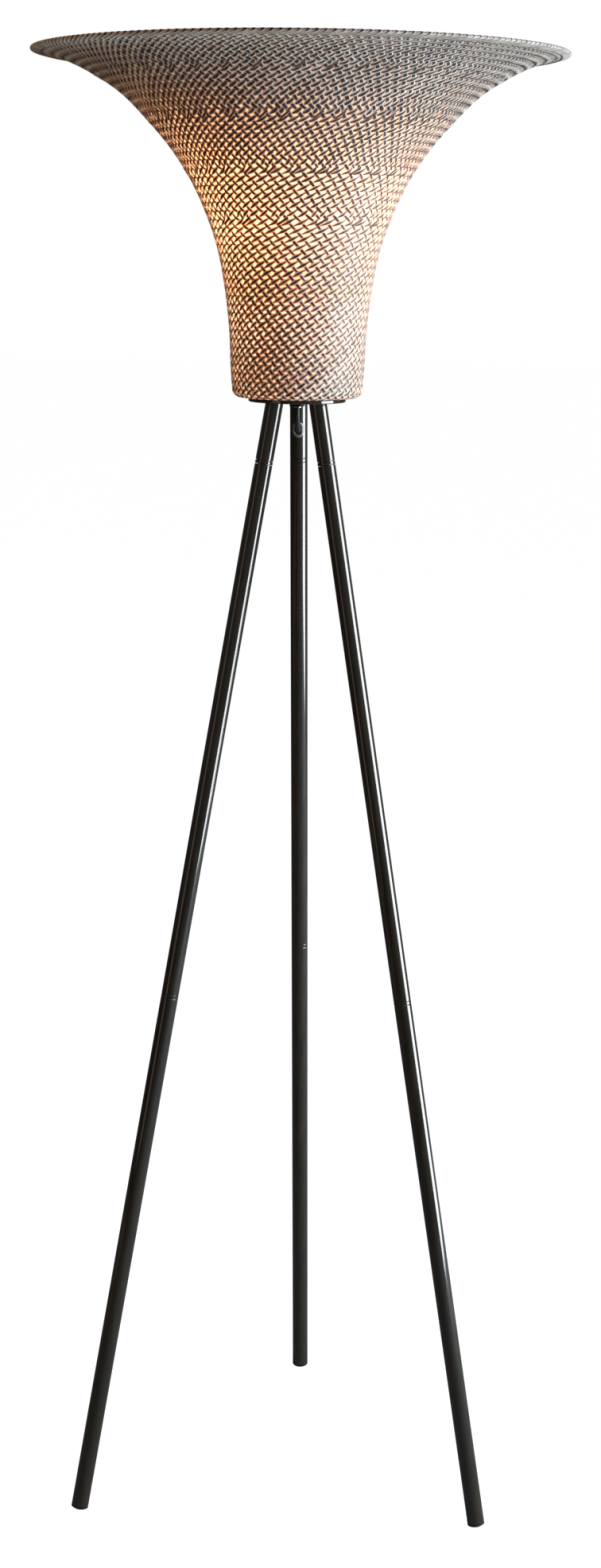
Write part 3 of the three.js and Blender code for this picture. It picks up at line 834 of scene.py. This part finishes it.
def stub(name, place, sides=72):
    """The shortest tube, whose upper end is cut level under the plate."""
    edge = tube_radius - worn_width
    levels = [(tube_inner, 0), (edge, 0), (tube_radius, worn_width), (tube_radius, None), (tube_inner, None)]
    verts = []
    for radius, step in levels:
        for i in range(sides):
            a = TAU * i / sides
            x, y = radius * math.cos(a), radius * math.sin(a)
            z = stub_start + step if step is not None else stub_end - x * math.tan(lean)
            verts.append(tuple(place @ Vector((x, y, z))))
    faces = [[v % len(verts) for v in face] for face in quads(len(levels) + 1, sides)]
    kinds = [1 if n // sides == 1 else 0 for n in range(len(faces))]
    return piece(name, verts, faces, [steel, worn_edge], kinds, sharp=crease)


def foot(name, place, steps=14):
    """A foot plug, its dome cut flat at the floor."""
    spread = math.asin(tube_radius / dome_radius)
    angles = [spread * i / steps for i in range(1, steps + 1)]
    outline = [(0, 0)]
    outline += [(dome_radius * math.sin(a), dome_centre - dome_radius * math.cos(a)) for a in angles]
    top = plug_edge + flange_height
    outline += [(tube_radius, top), (spigot_radius, top), (spigot_radius, top + plug_length)]
    outline.append((0, top + plug_length))
    ob = turned(name, outline, [black_plastic], matrix=place, sides=64)
    for v in ob.data.vertices:
        v.co.z = max(v.co.z, 0)
    return ob


for index, name in enumerate(leg_names):
    place = leg_matrix(index)
    middle_tube = tube(f"{name}_middle_tube", place, middle_start, middle_end)
    seated(middle_tube, "steel", f"{name}_leg_middle_tube")
    lower_tube = tube(f"{name}_lower_tube", place, lower_start, lower_end)
    seated(lower_tube, "steel", f"{name}_leg_lower_tube")
    seated(collar(f"{name}_upper_collar", place, upper_collar), "steel", f"{name}_leg_upper_coupler")
    seated(collar(f"{name}_lower_collar", place, lower_collar), "steel", f"{name}_leg_lower_coupler")
    seated(stub(f"{name}_stub", place), "steel", f"{name}_leg_stub")
    seated(foot(f"{name}_foot", place), "black_plastic", f"{name}_leg_foot_plug")


# Plate, washer, clamp and spacer
def threaded_on(name, width, start, thickness, finish, edge, sides):
    """A round piece that the pipe passes through."""
    outline = chamfered(pipe_hole, width / 2, start, start + thickness, edge)
    return turned(name, outline, [finish], sides)


plate = threaded_on("plate", plate_width, plate_underside, plate_thickness, steel, edge=0.8, sides=160)
seated(plate, "steel", "base_plate")
washer = threaded_on("washer", washer_width, washer_start, washer_thickness, black_zinc, edge=0.2, sides=48)
seated(washer, "zinc", "plate_washer")
clamp = threaded_on("clamp", clamp_width, clamp_start, clamp_thickness, zinc, edge=0.3, sides=120)
seated(clamp, "zinc", "clamp_disc")
spacer = threaded_on("spacer", spacer_outer, spacer_start, spacer_height, steel, edge=0.4, sides=48)
seated(spacer, "steel", "spacer_tube")


# Lampholder
def holder_cap():
    """The cap's outline, a hollow cone with its edges broken."""
    bottom, top = cap_bottom_width / 2, cap_top_width / 2
    end = cap_start + cap_height
    return [
        (pipe_hole, cap_start), (bottom - 0.4, cap_start), (bottom + 0.3, cap_start + 0.5),
        (top - 0.2, end - 0.5), (top - 0.4, end), (top - holder_wall, end),
        (bottom - holder_wall, cap_start + holder_wall), (pipe_hole, cap_start + holder_wall),
        (pipe_hole, cap_start),
    ]


groove_count = 5
groove_first = 4  # above the shell's lower end
groove_pitch = 5.5
groove_width = 2.2
groove_depth = 0.6


def holder_shell(low_edge=0.3, high_edge=0.4):
    """The shell's outline, with grooves for grip and a ledge that carries the contact block."""
    outside = shell_width / 2
    inside = outside - holder_wall
    ledge = inside - shell_ledge
    groove = outside - groove_depth
    low, high = shell_start, shell_start + shell_height
    shelf = low + holder_wall
    outline = [(ledge, low), (outside - low_edge, low), (outside, low + low_edge)]
    for k in range(groove_count):
        start = low + groove_first + groove_pitch * k
        end = start + groove_width
        outline += [(outside, start), (groove, start + groove_depth)]
        outline += [(groove, end - groove_depth), (outside, end)]
    outline += [(outside, high - high_edge), (outside - high_edge, high), (inside, high)]
    return outline + [(inside, shelf), (ledge, shelf), (ledge, low)]


seated(turned("holder_cap", holder_cap(), [black_plastic]), "black_plastic", "lampholder_cap")
seated(turned("holder_shell", holder_shell(), [black_plastic]), "black_plastic", "lampholder_shell")


# Bulb
def bulb_flare(steps=12):
    """The body widens from the cap along a quarter wave."""
    neck, wide = bulb_cap_width / 2, bulb_width / 2
    outline = [(0, bulb_body_start)]
    for k in range(steps + 1):
        share = k / steps
        radius = neck + (wide - neck) * math.sin(share * math.pi / 2)
        outline.append((radius, bulb_body_start + bulb_body_height * share))
    return outline + [(0, bulb_body_start + bulb_body_height)]


def bulb_dome(steps=14):
    wide = bulb_width / 2
    angles = [math.pi / 2 * k / steps for k in range(steps)]
    outline = [(wide - bulb_wall, bulb_dome_start)]
    outline += [(wide * math.cos(a), bulb_dome_start + wide * math.sin(a)) for a in angles]
    return outline + [(0, bulb_dome_start + wide)]


seated(turned("bulb_flare", bulb_flare(), [body_glow]), "diffuser", "bulb_body")
seated(turned("bulb_diffuser", bulb_dome(), [dome_glow]), "diffuser", "bulb_dome")


# Lead
def on_rear_leg(distance, offset):
    """The place up the rear leg's axis and out from it."""
    outward = leg_floor_radius - distance * math.sin(lean) + offset * math.cos(lean)
    return Vector((0, outward, distance * math.cos(lean) + offset * math.sin(lean)))


def rounded(points, radius, steps=14):
    """A path through points with its corners rounded by arcs."""
    path = [points[0]]
    for before, corner, after in zip(points, points[1:], points[2:]):
        back, ahead = (before - corner).normalized(), (after - corner).normalized()
        half = back.angle(ahead) / 2
        turn = math.pi - 2 * half
        centre = corner + (back + ahead).normalized() * (radius / math.sin(half))
        start = corner + back * (radius / math.tan(half)) - centre
        end = corner + ahead * (radius / math.tan(half)) - centre
        for i in range(steps + 1):
            share = i / steps
            path.append(
                centre
                + start * (math.sin((1 - share) * turn) / math.sin(turn))
                + end * (math.sin(share * turn) / math.sin(turn))
            )
    return path + [points[-1]]


pipe_turn = Vector((0, 0, pipe_start - lead_bend * math.tan(dive / 2)))
dive_run = (leg_top_radius + (stub_top - pipe_turn.z) * math.tan(lean)) / (
    math.sin(dive) - math.cos(dive) * math.tan(lean)
)
entry_corner = (pipe_turn.z - dive_run * math.cos(dive)) / math.cos(lean)
end_offset = tube_radius + bushing_stand / 2
lead_corners = [
    Vector((0, 0, shell_start)), pipe_turn, on_rear_leg(entry_corner, 0), on_rear_leg(exit_corner, 0),
    on_rear_leg(exit_corner - end_offset / math.tan(exit_turn), end_offset),
]
seated(swept("lead_run", rounded(lead_corners, lead_bend), lead_radius, rubber), "lead", "lead")

# Loops of the grommet's and the bushing's lip, from the tube's wall out and into the way through: width,
# length and rise, as a share of how far the piece stands out, or below the wall as a share of lip_sink
lip_loops = (
    (11.8, 17, 0), (11.8, 17, 0.6), (11.0, 16.2, 0.95), (9.6, 14.6, 1),
    (8.0, 12.6, 0.85), (7.1, 11.0, 0.3), (7.0, 10.6, -0.9),
)
lip_sink = 3


def slot_point(angle, width, length):
    """A point at an angle round the middle of a slot with round ends."""
    straight = (length - width) / 2
    y = width / 2 * math.cos(angle)
    z = width / 2 * math.sin(angle)
    return y, z + (straight if z > 0 else -straight if z < 0 else 0)


def eyelet(name, distance, side, stand, finish, sides=64):
    """A rounded lip round the lead's way through the rear leg's wall."""
    place = leg_matrix(0)
    verts = []
    for width, length, rise in lip_loops:
        radius = tube_radius + rise * (stand if rise > 0 else lip_sink)
        for i in range(sides):
            y, z = slot_point(TAU * i / sides, width, length)
            x = side * math.sqrt(max(radius**2 - y**2, 1))
            verts.append(tuple(place @ Vector((x, y, distance + z))))
    faces = [face if side > 0 else face[::-1] for face in quads(len(lip_loops), sides)]
    return piece(name, verts, faces, [finish], sharp=50)


entry_distance = entry_corner + tube_radius / math.tan(dive - lean)
exit_distance = exit_corner - tube_radius / math.tan(exit_turn)
grommet = eyelet("grommet", entry_distance, -1, grommet_stand, grommet_rubber)
seated(grommet, "black_plastic", "lead_grommet")
bushing = eyelet("bushing", exit_distance, 1, bushing_stand, black_plastic)
seated(bushing, "black_plastic", "lead_bushing")

# Nodes that keep their solid shape
kept = {
    "plate_locknut": black_zinc, "threaded_pipe": zinc, "rim_hoop": zinc, "contact_block": ceramic,
    "screw_sleeve": brass, "bulb_cap": zinc,
}
for name in leg_names:
    kept[f"{name}_leg_upper_insert"] = zinc
    kept[f"{name}_leg_lower_insert"] = zinc
for node, finish in kept.items():
    for material_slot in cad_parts[node].material_slots:
        material_slot.link = "OBJECT"
        material_slot.material = finish

# Camera, in metres and radians
camera_azimuth = math.radians(3.925)
camera_distance = 2.6398
camera_height = 1.3914
camera_aside = 0.00323
camera_down = 0.2147
camera_roll = 0.0118
camera = bpy.data.objects.new("camera", bpy.data.cameras.new("camera"))
bpy.context.scene.collection.objects.link(camera)
camera.data.sensor_width = 36
camera.data.lens = 56.14
camera.data.clip_end = 100


def round_the_lamp(azimuth, distance, height):
    """A place at an azimuth to the right of the front."""
    return Vector((distance * math.sin(azimuth), -distance * math.cos(azimuth), height))


camera.matrix_world = (
    Matrix.Translation(round_the_lamp(camera_azimuth, camera_distance, camera_height))
    @ Matrix.Rotation(camera_azimuth - camera_aside, 4, "Z")
    @ Matrix.Rotation(math.pi / 2 - camera_down, 4, "X")
    @ Matrix.Rotation(camera_roll, 4, "Z")
)
bpy.context.scene.camera = camera


# Studio
def studio_floor(reach=30):
    """A pale floor that takes shadows and light, lifted to white for the camera only."""
    corners = [(-reach, -reach, 0), (reach, -reach, 0), (reach, reach, 0), (-reach, reach, 0)]
    mesh = bpy.data.meshes.new("floor")
    mesh.from_pydata(corners, [], [(0, 1, 2, 3)])
    floor = bpy.data.objects.new("floor", mesh)
    bpy.context.scene.collection.objects.link(floor)
    made, nodes, links, shader = material("floor")
    shader.inputs["Base Color"].default_value = (0.25, 0.25, 0.25, 1)
    shader.inputs["Roughness"].default_value = 0.9
    shader.inputs["Specular IOR Level"].default_value = 0.0
    lift = nodes.new("ShaderNodeEmission")
    lift.inputs["Strength"].default_value = 0.97
    blank = nodes.new("ShaderNodeEmission")
    blank.inputs["Strength"].default_value = 0.0
    choose = nodes.new("ShaderNodeMixShader")
    links.new(nodes.new("ShaderNodeLightPath").outputs["Is Camera Ray"], choose.inputs["Fac"])
    links.new(blank.outputs["Emission"], choose.inputs[1])
    links.new(lift.outputs["Emission"], choose.inputs[2])
    both = nodes.new("ShaderNodeAddShader")
    links.new(shader.outputs["BSDF"], both.inputs[0])
    links.new(choose.outputs["Shader"], both.inputs[1])
    links.new(both.outputs["Shader"], nodes["Material Output"].inputs["Surface"])
    mesh.materials.append(made)


def surroundings():
    """White to the camera and to light through the thin sheets, dim to everything else."""
    world = bpy.data.worlds.new("world")
    bpy.context.scene.world = world
    world.use_nodes = True
    nodes, links = world.node_tree.nodes, world.node_tree.links
    dim = nodes["Background"]
    dim.inputs["Color"].default_value = (0.95, 0.975, 1.0, 1)
    dim.inputs["Strength"].default_value = 0.1
    white = nodes.new("ShaderNodeBackground")
    white.inputs["Color"].default_value = (1, 1, 1, 1)
    white.inputs["Strength"].default_value = 1.0
    path = nodes.new("ShaderNodeLightPath")
    seen = nodes.new("ShaderNodeMath")
    seen.operation = "MAXIMUM"
    links.new(path.outputs["Is Camera Ray"], seen.inputs[0])
    links.new(path.outputs["Is Transmission Ray"], seen.inputs[1])
    choose = nodes.new("ShaderNodeMixShader")
    links.new(seen.outputs["Value"], choose.inputs["Fac"])
    links.new(dim.outputs["Background"], choose.inputs[1])
    links.new(white.outputs["Background"], choose.inputs[2])
    links.new(choose.outputs["Shader"], nodes["World Output"].inputs["Surface"])


def softbox(name, azimuth, height, far, size, power, colour, diffuse=True, glossy=True, aim=1.0):
    """An area lamp at an azimuth to the right of the camera, aimed at a height on the lamp's axis."""
    data = bpy.data.lights.new(name, "AREA")
    data.shape = "RECTANGLE"
    data.size, data.size_y = size
    data.energy = power
    data.color = colour
    ob = bpy.data.objects.new(name, data)
    bpy.context.scene.collection.objects.link(ob)
    ob.location = round_the_lamp(camera_azimuth + math.radians(azimuth), far, height)
    ob.rotation_euler = (Vector((0, 0, aim)) - ob.location).to_track_quat("-Z", "Y").to_euler()
    ob.visible_diffuse = diffuse
    ob.visible_glossy = glossy
    ob.visible_camera = False


def inner_lamp(kind, height, power, size, colour):
    """A lamp inside the shade, with its height and size in millimetres, that shines but doesn't show."""
    data = bpy.data.lights.new(f"glow_{height}", kind)
    data.energy = power
    data.color = colour
    if kind == "AREA":
        data.shape = "DISK"
        data.size = size * MM
    else:
        data.shadow_soft_size = size * MM
    ob = bpy.data.objects.new(f"glow_{height}", data)
    bpy.context.scene.collection.objects.link(ob)
    ob.location = (0, 0, height * MM)
    ob.visible_camera = False
    ob.visible_glossy = False


studio_floor()
surroundings()

# The window and the room show only as reflections in the tubes, the fill and the key only as light
softbox(
    "window", azimuth=77, height=1.21, far=2.2, size=(1.35, 2.36), power=220,
    colour=(0.90, 0.96, 1.0), diffuse=False, aim=1.21,
)
softbox(
    "room", azimuth=-50, height=1.3, far=3.0, size=(1.0, 2.4), power=6.5,
    colour=(1.0, 0.84, 0.74), diffuse=False, aim=1.3,
)
softbox(
    "fill", azimuth=-72, height=0.6, far=2.8, size=(1.6, 1.4), power=26,
    colour=(1.0, 0.80, 0.54), glossy=False,
)
softbox(
    "key", azimuth=78, height=0.75, far=2.6, size=(1.8, 1.3), power=248,
    colour=(0.72, 0.86, 1.0), glossy=False,
)

# The bulb's light, carried down the neck and up to the flare
inner_lamp("AREA", height=1346, power=1.4, size=90, colour=(1.0, 0.95, 0.88))
inner_lamp("POINT", height=1450, power=1.3, size=12, colour=(1.0, 0.68, 0.38))
inner_lamp("POINT", height=1515, power=7.2, size=12, colour=(1.0, 0.66, 0.36))

bpy.context.scene.view_settings.view_transform = "Standard"
